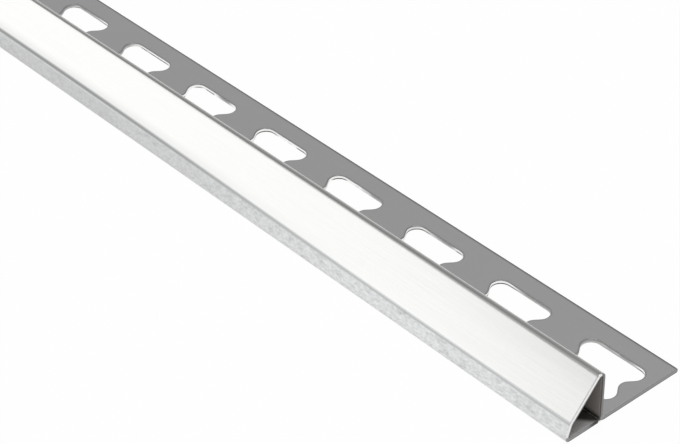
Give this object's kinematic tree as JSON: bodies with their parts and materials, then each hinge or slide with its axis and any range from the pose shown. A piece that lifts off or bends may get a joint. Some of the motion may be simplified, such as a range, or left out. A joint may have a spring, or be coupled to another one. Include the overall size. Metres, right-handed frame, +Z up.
{
  "type": "floor transition strip",
  "caption": "Folded stainless steel strip for a tiled floor's edge: punched anchoring leg, upright wall against the tile and a hollow ramp down to the lower floor.",
  "frame": {"origin": "under the middle of the strip, on the floor", "axes": "+X along the strip to the end that the picture shows, +Y from the foot of the ramp to the leg's free edge, +Z up"},
  "size_m": [1, 0.0254, 0.01],
  "materials": {
    "stainless_sheet": "bright rolled on the ramp, fine brushed lip, dull grey leg"
  },
  "bodies": {
    "root": {"transition_strip": "stainless_sheet"}
  },
  "joints": []
}
